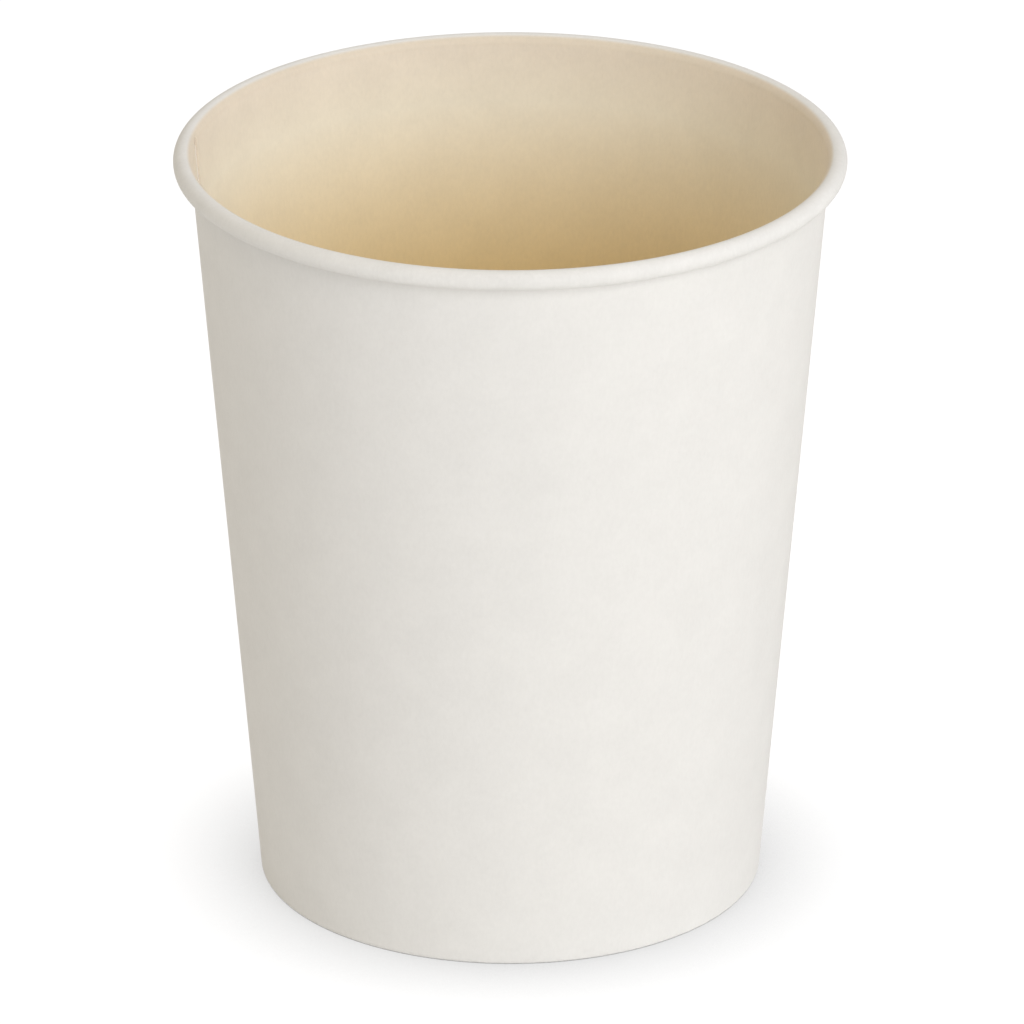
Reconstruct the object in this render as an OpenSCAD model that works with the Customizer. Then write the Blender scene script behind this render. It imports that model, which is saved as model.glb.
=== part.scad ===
// Tapered paperboard food container, open at the top, for soup, salad or ice cream.
//
// It is folded and rolled from two pieces of board, and each is one node:
//   sidewall     a fan-shaped sheet wrapped into a cone. Its two straight edges lap in a glued
//                side seam, its top edge is rolled outwards into the rim, and its bottom edge
//                is folded inwards and up.
//   bottom_disc  a disc with its edge turned down into a skirt, which is gripped between the
//                wall and the folded-up edge.
//
// Lengths are in millimetres. The origin is at the centre of the base, on the surface that
// the container stands on, and +Z runs up along its axis.

/* [Overall size] */
// Height from the table to the top of the rim
overall_height = 135.5; // [90:0.5:180]
// Diameter over the rolled rim
rim_diameter = 117; // [105:0.5:130]
// Diameter at the foot of the wall
base_diameter = 88.7; // [75:0.1:97]

/* [Board] */
// Thickness of the paperboard
board = 0.45; // [0.3:0.05:0.6]
// Inside radius of the folds at the foot and at the edge of the disc
crease_radius = 0.1; // [0.05:0.01:0.15]
// Film and glue between two layers of board
seal_gap = 0.03; // [0.02:0.01:0.1]

/* [Rim] */
// Diameter of the rolled rim's section
roll_diameter = 3.44; // [2.8:0.02:4.4]
// How far the rolled edge is tucked up inside the roll, in degrees
tuck_angle = 135; // [60:5:170]
// Play between the tucked edge and the wall beside it
tuck_gap = 0.05; // [0.02:0.01:0.1]

/* [Bottom] */
// Height of the wall's folded-up edge above the table
hem_height = 7.5; // [4:0.5:14]
// Space between the folded-up edge and the underside of the disc
hem_clearance = 1.2; // [0.8:0.1:3]

/* [Side seam] */
// Width of the lap
lap_width = 8; // [4:0.5:14]
// Length over which the outer layer steps down beside the lap
lap_ramp = 2.5; // [1.5:0.1:4]
// Direction of the inner layer's cut edge, in degrees from +X
lap_direction = 172; // [0:1:350]

/* [Hidden] */
$fn = 180;
// Degrees between the points of a bend
bend_step = 10;

WHITE = [0.95, 0.945, 0.93];
CREAM = [0.90, 0.83, 0.70];

// Rolled rim: its outer radius, the radius of the tucked stretch, and the roll's centre
roll_r = roll_diameter / 2;
tuck_r = roll_r - board - tuck_gap;
roll_at = [rim_diameter / 2 - roll_r, overall_height - roll_r];

// Fold at the foot: its outer radius and the centre of the bend below the wall
fold_r = crease_radius + board;
foot_at = [base_diameter / 2 - fold_r, fold_r];

// The wall's outer face is a line that touches both bends: it passes inside the roll's
// centre and outside the foot's centre. lean is its angle from the vertical.
span = roll_at - foot_at;
lean = atan2(span.x, span.y) - asin((roll_r - board + fold_r) / norm(span));
up_wall = [sin(lean), cos(lean)];
out_wall = [cos(lean), -sin(lean)];
wall_length = span * up_wall;

// The tucked stretch is shifted down the wall's slope, so that it carries on from the roll
tuck_at = roll_at - (roll_r - tuck_r) * up_wall;

// The skirt and the folded-up edge lie one layer further in each, so the foot is three
// layers wide and stands on the flat land between its two bends.
land = (board + 2 * seal_gap - 2 * crease_radius) / cos(lean);
hem_at = foot_at - [land, 0];
hem_length = (hem_height - hem_at.y + fold_r * out_wall.y) / up_wall.y;

// Disc: its upper face, its bend, and the length of its skirt below the bend. The skirt
// stops clear of the rounded corner inside the fold.
disc_top = hem_height + hem_clearance + board;
skirt_face = foot_at * out_wall + crease_radius - seal_gap;
disc_bend_y = disc_top - fold_r;
disc_at = [(skirt_face - fold_r - disc_bend_y * out_wall.y) / out_wall.x, disc_bend_y];
skirt_foot = board + crease_radius + seal_gap;
skirt_length = (disc_at.y + fold_r * out_wall.y - skirt_foot) / up_wall.y;

// Lap: where its outer layer starts and ends along the wall, how far round it goes, and how
// far the round wall falls away from a flat cut over the length of the ramp
lap_low = board;
lap_high = wall_length - roll_r + board;
lap_r = (foot_at.x + roll_at.x) / 2;
lap_angle = lap_width / lap_r * 180 / PI;
ramp_angle = lap_ramp / lap_r * 180 / PI;
ramp_fall = lap_ramp * lap_ramp / (2 * lap_r);
ramp_slope = (board + ramp_fall) / lap_ramp;
// How far a cutting block reaches past what it cuts
cut_margin = 2;

function arc(at, r, from, to) =
    let (steps = ceil(abs(to - from) / bend_step))
    [for (i = [0 : steps])
        let (angle = from + (to - from) * i / steps)
        at + r * [cos(angle), sin(angle)]];

function reversed(points) = [for (i = [len(points) - 1 : -1 : 0]) points[i]];

// One face of the wall's sheet, from the tucked edge over the roll, down the wall and round
// the foot to the folded-up edge. It is drawn at the radius "rolled" off the roll's outside
// and at the radius "folded" about the foot's bends.
function wall_face(rolled, folded) = [
    each arc(tuck_at, tuck_r - rolled, -90 - lean - tuck_angle, -90 - lean),
    each arc(roll_at, roll_r - rolled, -90 - lean, 180 - lean),
    each arc(foot_at, folded, -lean, -90),
    each arc(hem_at, folded, -90, -180 - lean),
    hem_at - folded * out_wall + hem_length * up_wall
];

// One face of the disc's sheet, from its centre to the foot of its skirt
function disc_face(folded) = [
    [0, disc_at.y + folded],
    each arc(disc_at, folded, 90, -lean),
    disc_at + folded * out_wall - skirt_length * up_wall
];

// A block that runs along the wall at the lap. Its outline lies across the wall: x points
// out of the wall's outer face and y runs round it.
module along_lap() {
    rotate([0, 0, lap_direction])
        translate([foot_at.x + fold_r * out_wall.x, 0, foot_at.y + fold_r * out_wall.y])
            rotate([0, lean, 0])
                translate([0, 0, -cut_margin]) linear_extrude(wall_length + 2 * cut_margin)
                    children();
}

// Outer layer of the lap: it covers the inner layer and then steps down to the wall
module lap_layer() {
    low = foot_at + lap_low * up_wall;
    high = foot_at + lap_high * up_wall;
    inner = (fold_r - board / 2) * out_wall;
    outer = (fold_r + board) * out_wall;
    difference() {
        rotate([0, 0, lap_direction - lap_angle])
            rotate_extrude(angle = lap_angle + 2 * ramp_angle)
                polygon([low + inner, low + outer, high + outer, high + inner]);
        along_lap() polygon([
            [board + cut_margin, 2 * lap_ramp + cut_margin],
            [board - (2 * lap_ramp + cut_margin) * ramp_slope, 2 * lap_ramp + cut_margin],
            [board + cut_margin * ramp_slope, -cut_margin]
        ]);
    }
}

// Groove inside the wall, from the inner layer's cut edge to where the outer layer has
// stepped down. It fades out over the rim's roll.
module lap_groove() {
    along_lap() polygon([
        [-board - cut_margin, 0],
        [-board - cut_margin, lap_ramp + cut_margin],
        [-(lap_ramp + cut_margin) * ramp_slope, lap_ramp + cut_margin],
        [0, 0]
    ]);
}

module sidewall() {
    color(WHITE) difference() {
        union() {
            rotate_extrude() polygon([
                each wall_face(0, crease_radius),
                each reversed(wall_face(board, fold_r))
            ]);
            lap_layer();
        }
        lap_groove();
    }
}

module bottom_disc() {
    color(CREAM) rotate_extrude() polygon([
        each disc_face(fold_r),
        each reversed(disc_face(crease_radius))
    ]);
}

sidewall();
bottom_disc();
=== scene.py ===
import math

import bpy
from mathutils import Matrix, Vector


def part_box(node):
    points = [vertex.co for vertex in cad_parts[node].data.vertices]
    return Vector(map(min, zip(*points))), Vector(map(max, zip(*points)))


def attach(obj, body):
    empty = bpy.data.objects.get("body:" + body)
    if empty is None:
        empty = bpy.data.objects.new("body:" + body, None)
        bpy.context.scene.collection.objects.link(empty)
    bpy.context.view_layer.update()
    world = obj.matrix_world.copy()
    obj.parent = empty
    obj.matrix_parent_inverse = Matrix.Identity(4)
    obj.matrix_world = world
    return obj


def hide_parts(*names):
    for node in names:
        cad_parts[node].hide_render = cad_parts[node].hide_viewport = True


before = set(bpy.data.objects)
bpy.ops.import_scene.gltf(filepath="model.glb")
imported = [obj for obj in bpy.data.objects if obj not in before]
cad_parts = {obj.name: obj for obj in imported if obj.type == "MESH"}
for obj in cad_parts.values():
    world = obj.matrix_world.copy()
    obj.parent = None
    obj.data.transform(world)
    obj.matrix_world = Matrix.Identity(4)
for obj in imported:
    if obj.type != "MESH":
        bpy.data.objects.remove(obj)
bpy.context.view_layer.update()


# Sidewall
# One fan-shaped sheet of paperboard, white outside and lined with tan inside, wrapped into a
# cone and glued to itself in a lap down one side. Its top edge is rolled outwards into the
# rim, and its foot is folded inwards and up round the skirt of the bottom disc.
MM = 0.001
board = 0.45 * MM
film = 0.03 * MM
crease_r = 0.1 * MM
roll_r = 1.72 * MM
tuck_r = roll_r - board - 0.05 * MM
tuck_angle = math.radians(135)
foot_r = 44.35 * MM
hem_height = 7.5 * MM

_, sheet_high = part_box("sidewall")
fold_r = crease_r + board
roll_at = Vector((sheet_high[0] - roll_r, 0, sheet_high[2] - roll_r))
foot_at = Vector((foot_r - fold_r, 0, fold_r))
span = roll_at - foot_at
lean = math.atan2(span.x, span.z) - math.asin((roll_r + crease_r) / span.length)
up_wall = Vector((math.sin(lean), 0, math.cos(lean)))
out_wall = Vector((math.cos(lean), 0, -math.sin(lean)))
tuck_at = roll_at - (roll_r - tuck_r) * up_wall
hem_at = foot_at - Vector(((board + 2 * film - 2 * crease_r) / math.cos(lean), 0, 0))
hem_length = (hem_height - hem_at.z + fold_r * out_wall.z) / up_wall.z


def start_section(name, point):
    """Starts a piece from a small plane merged to one point, which is left in edit mode."""
    bpy.ops.object.select_all(action="DESELECT")
    bpy.ops.mesh.primitive_plane_add(size=board, location=(0, 0, 0))
    bpy.context.object.name = name
    bpy.ops.object.mode_set(mode="EDIT")
    bpy.ops.mesh.select_all(action="SELECT")
    bpy.ops.mesh.merge(type="CENTER")
    bpy.ops.transform.translate(value=point)
    return bpy.context.object


def bend_section(centre, angle, step=math.radians(10)):
    """Carries the section's end on round a bend, anticlockwise as seen from the front."""
    steps = math.ceil(abs(angle) / step)
    bpy.ops.mesh.spin(steps=steps, angle=angle, center=centre, axis=(0, 1, 0))


def run_section(way, steps=1):
    """Carries the section's end on along a straight line."""
    for _ in range(steps):
        bpy.ops.mesh.extrude_region_move(TRANSFORM_OT_translate={"value": way / steps})


# The section follows the lined face of the sheet, from the tucked edge over the roll, down
# the wall and round the foot to the folded-up edge.
start_angle = -math.pi / 2 - lean - tuck_angle
sheet = start_section(
    "sidewall_sheet",
    tuck_at + tuck_r * Vector((math.cos(start_angle), 0, math.sin(start_angle))),
)
bend_section(tuck_at, tuck_angle)
bend_section(roll_at, math.radians(270))
flap_length = span.dot(up_wall) - roll_r
run_section((board - roll_r) * up_wall)
run_section(-flap_length * up_wall, steps=14)
run_section(-board * up_wall)
bend_section(foot_at, lean - math.pi / 2, step=math.radians(18))
run_section(hem_at - foot_at)
bend_section(hem_at, -math.pi / 2 - lean, step=math.radians(18))
run_section(hem_length * up_wall, steps=4)

# The section is spun round to the lap. The last columns step out by one layer of board, to
# pass over the sheet's first edge, and the wall goes on from there as the lap's flap.
columns = 240
column_angle = 2 * math.pi / columns
ramp_columns = 2
flap_columns = 6
lap_direction = math.radians(172)
lap_fade = math.radians(30)


def spin_round(steps):
    """Spins what is selected about the container's axis, clockwise as seen from above."""
    bpy.ops.mesh.spin(
        steps=steps, angle=steps * column_angle, center=(0, 0, 0), axis=(0, 0, 1), use_auto_merge=False
    )


def selected_points(piece):
    """The numbers of the selected points of the piece in edit mode."""
    piece.update_from_editmode()
    return [point.index for point in piece.data.vertices if point.select]


def select_points(piece, chosen):
    """Selects just these points of the piece in edit mode."""
    bpy.ops.mesh.select_all(action="DESELECT")
    bpy.ops.object.mode_set(mode="OBJECT")
    for index in chosen:
        piece.data.vertices[index].select = True
    bpy.ops.object.mode_set(mode="EDIT")


def lap_share(place):
    """How far a point of the sheet takes part in the lap: 1 on the wall, fading over the roll."""
    from_foot = Vector((math.hypot(place.x, place.y), 0, place.z)) - foot_at
    depth = from_foot.dot(out_wall) - crease_r
    if depth < -film or depth > roll_r or place.z < fold_r + board / 2:
        return 0
    return max(0, 1 - math.acos(1 - max(0, depth) / roll_r) / lap_fade)


bpy.ops.mesh.select_all(action="SELECT")
spin_round(columns - ramp_columns)
ramp = []
for _ in range(ramp_columns):
    spin_round(1)
    ramp.append(selected_points(sheet))

bpy.ops.object.mode_set(mode="OBJECT")
flap = []
for number, column in enumerate(ramp, 1):
    for index in column:
        point = sheet.data.vertices[index]
        share = lap_share(point.co)
        if number == ramp_columns and share == 1 and point.co.z < tuck_at.z:
            flap.append(index)
        point.co += share * number / ramp_columns * (board + film) * out_wall
bpy.ops.object.mode_set(mode="EDIT")
select_points(sheet, flap)
spin_round(flap_columns)

# Where it isn't lapped the sheet closes on itself. It is turned to the lap's place, and its
# faces are turned to the side with the lining.
def close_round(piece):
    """Joins a spun sheet to itself and turns its faces up or towards the container's axis."""
    bpy.ops.mesh.select_all(action="SELECT")
    bpy.ops.mesh.remove_doubles(threshold=film / 10)
    bpy.ops.mesh.normals_make_consistent(inside=False)
    bpy.ops.transform.rotate(value=-lap_direction, orient_axis="Z", center_override=(0, 0, 0))
    bpy.ops.object.mode_set(mode="OBJECT")
    face = max(piece.data.polygons, key=lambda f: f.area)
    if face.normal.dot(Vector((-face.center.x, -face.center.y, foot_r))) < 0:
        piece.data.flip_normals()


close_round(sheet)


# Board
# Both pieces are cut from one solid paperboard, 0.45 mm thick: bleached and left bare outside,
# with a tan lining inside, which stops where the sheet is rolled over into the rim.
def linear(colour):
    """A colour written as sRGB hex, such as "#f2efe8", as linear RGBA."""
    shares = [int(colour[i : i + 2], 16) / 255 for i in (1, 3, 5)]
    return [s / 12.92 if s <= 0.04045 else ((s + 0.055) / 1.055) ** 2.4 for s in shares] + [1]


def add_node(owner, kind, inputs, **settings):
    """Adds a node with its settings. An input takes a value, or another node's output."""
    made = owner.node_tree.nodes.new(kind)
    for name, value in settings.items():
        setattr(made, name, value)
    for name, value in inputs.items():
        if isinstance(value, bpy.types.NodeSocket):
            owner.node_tree.links.new(value, made.inputs[name])
        else:
            made.inputs[name].default_value = value
    return made


def board_face(name, tint, roughness, mottling):
    """A face of the board: dry and matte, a little cloudy where its fibres lie denser.

    The clouds are about 9 mm across. A fibre is really 0.03 mm wide, and is drawn ten times
    that so that it shows. More of the fibres lie up the wall than across it. The two noises
    added together run from about 0.6 to 1.4.
    """
    face = bpy.data.materials.new(name)
    face.use_nodes = True
    face.node_tree.nodes.clear()
    place = add_node(face, "ShaderNodeTexCoord", {}).outputs["Object"]
    grain = add_node(face, "ShaderNodeVectorMath", {0: place, 1: (1, 1, 0.5)}, operation="MULTIPLY")
    cloud = add_node(
        face,
        "ShaderNodeTexNoise",
        {"Vector": place, "Scale": 1 / (9 * MM), "Detail": 5, "Roughness": 0.62},
    )
    fibre = add_node(
        face,
        "ShaderNodeTexNoise",
        {
            "Vector": grain.outputs["Vector"],
            "Scale": 1 / (0.6 * MM),
            "Detail": 3,
            "Roughness": 0.7,
        },
    )
    density = add_node(
        face,
        "ShaderNodeMath",
        {0: cloud.outputs["Fac"], 1: fibre.outputs["Fac"]},
        operation="ADD",
    )
    shade = add_node(
        face,
        "ShaderNodeMapRange",
        {
            "Value": density.outputs[0],
            "From Min": 0.6,
            "From Max": 1.4,
            "To Min": 1 - mottling,
            "To Max": 1 + mottling,
        },
    )
    tinted = add_node(
        face,
        "ShaderNodeVectorMath",
        {0: linear(tint)[:3], "Scale": shade.outputs["Result"]},
        name="tint",
        operation="SCALE",
    )
    relief = add_node(
        face,
        "ShaderNodeBump",
        {"Height": density.outputs[0], "Strength": 0.2, "Distance": 0.03 * MM},
    )
    surface = add_node(
        face,
        "ShaderNodeBsdfPrincipled",
        {
            "Base Color": tinted.outputs["Vector"],
            "Roughness": roughness,
            "Normal": relief.outputs["Normal"],
        },
    )
    add_node(face, "ShaderNodeOutputMaterial", {"Surface": surface.outputs["BSDF"]})
    return face


bleached = board_face("bleached_paperboard", "#f0f0ee", roughness=0.85, mottling=0.035)
cut_edge = board_face("cut_paperboard_edge", "#ebe2d6", roughness=0.95, mottling=0.05)
lined = board_face("tan_lined_paperboard", "#e2c897", roughness=0.7, mottling=0.05)

# The lining's tan is painted golden low down and paler towards the rim, which is painted shade
# deepening down inside the container, and a little darker again over the top of the roll, which is
# painted shade on its upward face. It runs out over the first millimetre of the roll, by how far
# the roll has turned out from the inside of the wall. Each tint is given with its depth in
# millimetres below the top of the rim.
place = add_node(lined, "ShaderNodeTexCoord", {}).outputs["Object"]
height = add_node(lined, "ShaderNodeSeparateXYZ", {"Vector": place}).outputs["Z"]
below_rim = add_node(
    lined,
    "ShaderNodeMapRange",
    {"Value": height, "From Min": sheet_high[2], "From Max": 0},
)
tan = add_node(lined, "ShaderNodeValToRGB", {"Fac": below_rim.outputs["Result"]}, name="tan")
# The golden stops deep down and the darker stop at 0.3 mm are painted shade on the lining's tan.
lining_tints_with_painted_shade = [(0.3, "#e8dcc9"), (1.8, "#f5ede0"), (12, "#f8f3e4"), (30, "#f5e7c6"), (45, "#efdaa8")]
for number, (depth, tint) in enumerate(lining_tints_with_painted_shade):
    if number > 1:
        tan.color_ramp.elements.new(1)
    tan.color_ramp.elements[number].position = depth * MM / sheet_high[2]
    tan.color_ramp.elements[number].color = linear(tint)
across = add_node(lined, "ShaderNodeVectorMath", {0: place, 1: (1, 1, 0)}, operation="MULTIPLY")
radius = add_node(lined, "ShaderNodeVectorMath", {0: across.outputs["Vector"]}, operation="LENGTH")
slope = add_node(
    lined,
    "ShaderNodeCombineXYZ",
    {"X": radius.outputs["Value"], "Z": height},
)
outward = add_node(
    lined,
    "ShaderNodeVectorMath",
    {0: slope.outputs["Vector"], 1: out_wall},
    operation="DOT_PRODUCT",
)
wall_inside = foot_at.dot(out_wall) + crease_r
below_roll = sheet_high[2] - 2.2 * roll_r
rolled_out = add_node(
    lined,
    "ShaderNodeMapRange",
    {
        "Value": outward.outputs["Value"],
        "From Min": wall_inside + 0.4 * MM,
        "From Max": wall_inside + 1.1 * MM,
    },
    interpolation_type="SMOOTHSTEP",
)
in_roll = add_node(
    lined,
    "ShaderNodeMath",
    {0: height, 1: below_roll},
    operation="GREATER_THAN",
)
bare = add_node(
    lined,
    "ShaderNodeMath",
    {0: rolled_out.outputs["Result"], 1: in_roll.outputs[0]},
    operation="MULTIPLY",
)
# The lining's tan with its painted shade, and plain white where the lining runs out on the roll.
painted_shade_lining_and_bare_roll = add_node(
    lined,
    "ShaderNodeMix",
    {"Factor": bare.outputs[0], "A": tan.outputs["Color"], "B": linear("#f0f0ee")},
    data_type="RGBA",
)
lined.node_tree.links.new(painted_shade_lining_and_bare_roll.outputs["Result"], lined.node_tree.nodes["tint"].inputs[0])


def make_board(piece):
    """Gives a sheet its three finishes and its thickness, and takes the sharpness off its cuts."""
    for face in (lined, bleached, cut_edge):
        piece.data.materials.append(face)
    ply = piece.modifiers.new("Ply", "SOLIDIFY")
    ply.thickness = board
    ply.offset = -1
    ply.use_even_offset = True
    ply.material_offset = 1
    ply.material_offset_rim = 2
    bpy.ops.object.modifier_apply(modifier=ply.name)
    bpy.ops.object.shade_smooth_by_angle(angle=math.radians(35))
    cuts = piece.modifiers.new("Cuts", "BEVEL")
    cuts.width = 0.04 * MM
    cuts.segments = 2
    cuts.limit_method = "ANGLE"
    cuts.angle_limit = math.radians(60)
    cuts.harden_normals = True
    bpy.ops.object.modifier_apply(modifier=cuts.name)


make_board(sheet)
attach(sheet, "root")
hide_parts("sidewall")


# Bottom disc
# A round blank of the same board, lined side up, with its edge turned down into a skirt. The
# skirt is pushed into the wall's foot, and the folded-up edge is pressed against it.
disc_low, disc_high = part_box("bottom_disc")
disc_bend_z = disc_high[2] - fold_r
skirt_face = foot_at.dot(out_wall) + crease_r - film
disc_at = Vector(((skirt_face - fold_r - disc_bend_z * out_wall.z) / out_wall.x, 0, disc_bend_z))
skirt_length = (disc_at.z + fold_r * out_wall.z - disc_low[2]) / up_wall.z

disc = start_section("bottom_disc_board", Vector((0, 0, disc_high[2])))
run_section(Vector((disc_at.x, 0, 0)), steps=12)
bend_section(disc_at, -math.pi / 2 - lean, step=math.radians(18))
run_section(-skirt_length * up_wall, steps=3)
bpy.ops.mesh.select_all(action="SELECT")
spin_round(columns)
close_round(disc)
make_board(disc)
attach(disc, "root")
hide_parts("bottom_disc")


# Studio
# A white sweep under the container, a large soft lamp to the right of the camera, two weaker
# ones higher up at the container's right and left, and a pale room all round. The camera
# looks down at 23 degrees through a long lens.
bpy.ops.object.select_all(action="DESELECT")
bpy.ops.mesh.primitive_plane_add(size=8, location=(0, 0, 0))
floor = bpy.context.object
floor.name = "floor"

# The container is lit from below by plain white paper. The camera sees a floor that gives off
# its own white, dimmed where the container stands over it, so it is white with a painted soft shadow.
sweep = bpy.data.materials.new("white_paper_sweep")
sweep.use_nodes = True
sweep.node_tree.nodes.clear()
paper = add_node(sweep, "ShaderNodeBsdfDiffuse", {"Color": linear("#f4f4f4")})
shaded = add_node(sweep, "ShaderNodeBsdfDiffuse", {"Color": linear("#646464")})
# Ambient occlusion dims the floor's glow within 25 mm of the container: a painted contact shadow.
nearby = add_node(sweep, "ShaderNodeAmbientOcclusion", {"Distance": 25 * MM}, samples=4)
contact = add_node(
    sweep,
    "ShaderNodeMath",
    {0: nearby.outputs["AO"], 1: 0.48},
    operation="POWER",
)
white_with_painted_shadow = add_node(sweep, "ShaderNodeMath", {0: contact.outputs[0], 1: 0.97}, operation="MULTIPLY")
glow = add_node(sweep, "ShaderNodeEmission", {"Color": (1, 1, 1, 1), "Strength": white_with_painted_shadow.outputs[0]})
seen = add_node(sweep, "ShaderNodeAddShader", {0: shaded.outputs[0], 1: glow.outputs[0]})
rays = add_node(sweep, "ShaderNodeLightPath", {})
both = add_node(
    sweep,
    "ShaderNodeMixShader",
    {0: rays.outputs["Is Camera Ray"], 1: paper.outputs[0], 2: seen.outputs[0]},
)
add_node(sweep, "ShaderNodeOutputMaterial", {"Surface": both.outputs[0]})
floor.data.materials.append(sweep)

room = bpy.data.worlds.new("pale_room")
bpy.context.scene.world = room
room.use_nodes = True
room.node_tree.nodes.clear()
rays = add_node(room, "ShaderNodeLightPath", {})
walls = add_node(room, "ShaderNodeBackground", {"Color": linear("#fff9f3"), "Strength": 0.46})
white = add_node(room, "ShaderNodeBackground", {"Color": (1, 1, 1, 1), "Strength": 1})
both = add_node(
    room,
    "ShaderNodeMixShader",
    {0: rays.outputs["Is Camera Ray"], 1: walls.outputs[0], 2: white.outputs[0]},
)
add_node(room, "ShaderNodeOutputWorld", {"Surface": both.outputs[0]})


def aim(thing, azimuth, elevation, distance, target):
    """Places a lamp or the camera round the target, facing it. Azimuth 0 is in front of it."""
    turn, rise = math.radians(azimuth), math.radians(elevation)
    flat = distance * math.cos(rise)
    way = Vector((flat * math.sin(turn), -flat * math.cos(turn), distance * math.sin(rise)))
    bpy.context.collection.objects.link(thing)
    thing.location = target + way
    thing.rotation_euler = way.to_track_quat("Z", "Y").to_euler()


def add_softbox(name, tint, azimuth, elevation, power):
    """A square lamp a metre across, behind its white cloth."""
    cloth = bpy.data.lights.new(name, "AREA")
    cloth.size = 1.0
    cloth.color = linear(tint)[:3]
    cloth.energy = power
    box = bpy.data.objects.new(name, cloth)
    aim(box, azimuth, elevation, distance=1.6, target=Vector((0, 0, 0.07)))


add_softbox("key_softbox", "#ffffff", azimuth=30, elevation=28, power=11.5)
add_softbox("right_softbox", "#ffffff", azimuth=110, elevation=45, power=3.7)
add_softbox("left_softbox", "#fff1cc", azimuth=-100, elevation=45, power=3.3)

camera = bpy.data.objects.new("camera", bpy.data.cameras.new("camera"))
camera.data.angle = math.radians(5.3437)
aim(camera, azimuth=0, elevation=23.2, distance=1.9296, target=Vector((0.0003, 0, 0.06692)))
bpy.context.scene.camera = camera
bpy.context.scene.view_settings.view_transform = "Standard"
